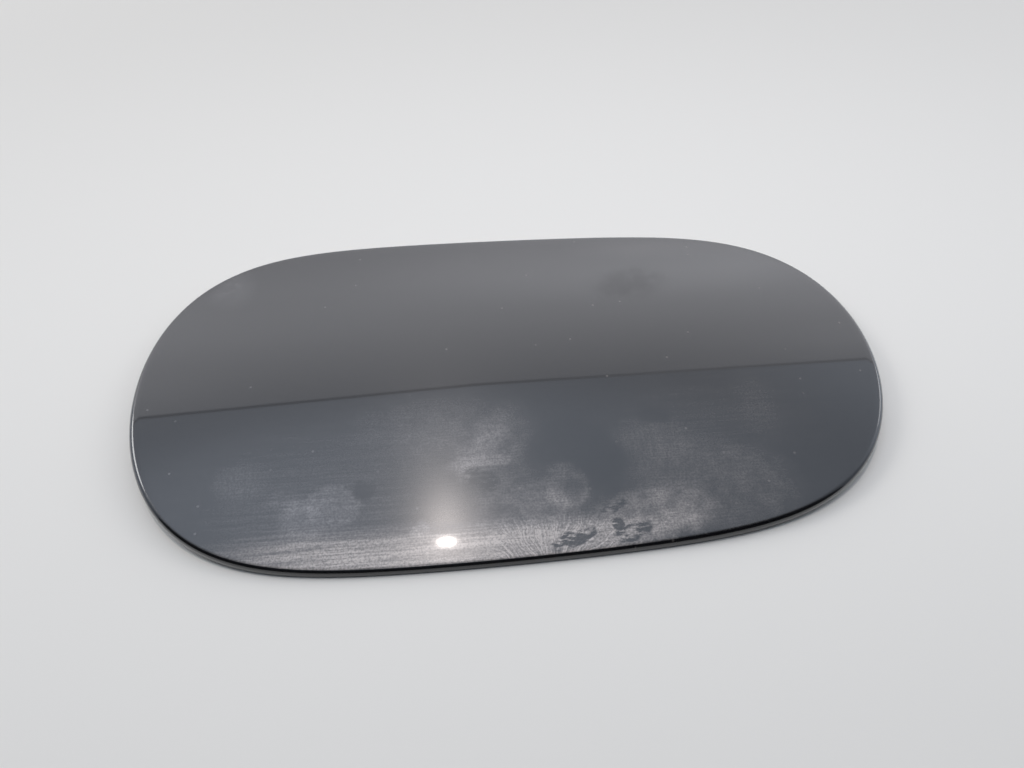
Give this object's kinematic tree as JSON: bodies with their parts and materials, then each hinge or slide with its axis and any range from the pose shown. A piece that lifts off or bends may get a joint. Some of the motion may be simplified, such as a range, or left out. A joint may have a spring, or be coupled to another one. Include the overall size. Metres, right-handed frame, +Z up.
{
  "type": "fuel filler flap",
  "caption": "Outer flap that closes a car's fuel filler: a rounded, slightly tapered panel, curved across its width, gloss black, with screw bosses on its back for a hinge arm.",
  "frame": {"origin": "middle of the flap's outline, at the height of the long edges that it rests on", "axes": "+X along the length towards the narrower end, +Y across the width, +Z up out of the painted face"},
  "size_m": [0.212, 0.1214, 0.0071],
  "materials": {
    "black_paint": "gloss"
  },
  "bodies": {
    "root": {"flap_panel": "black_paint"}
  },
  "joints": []
}
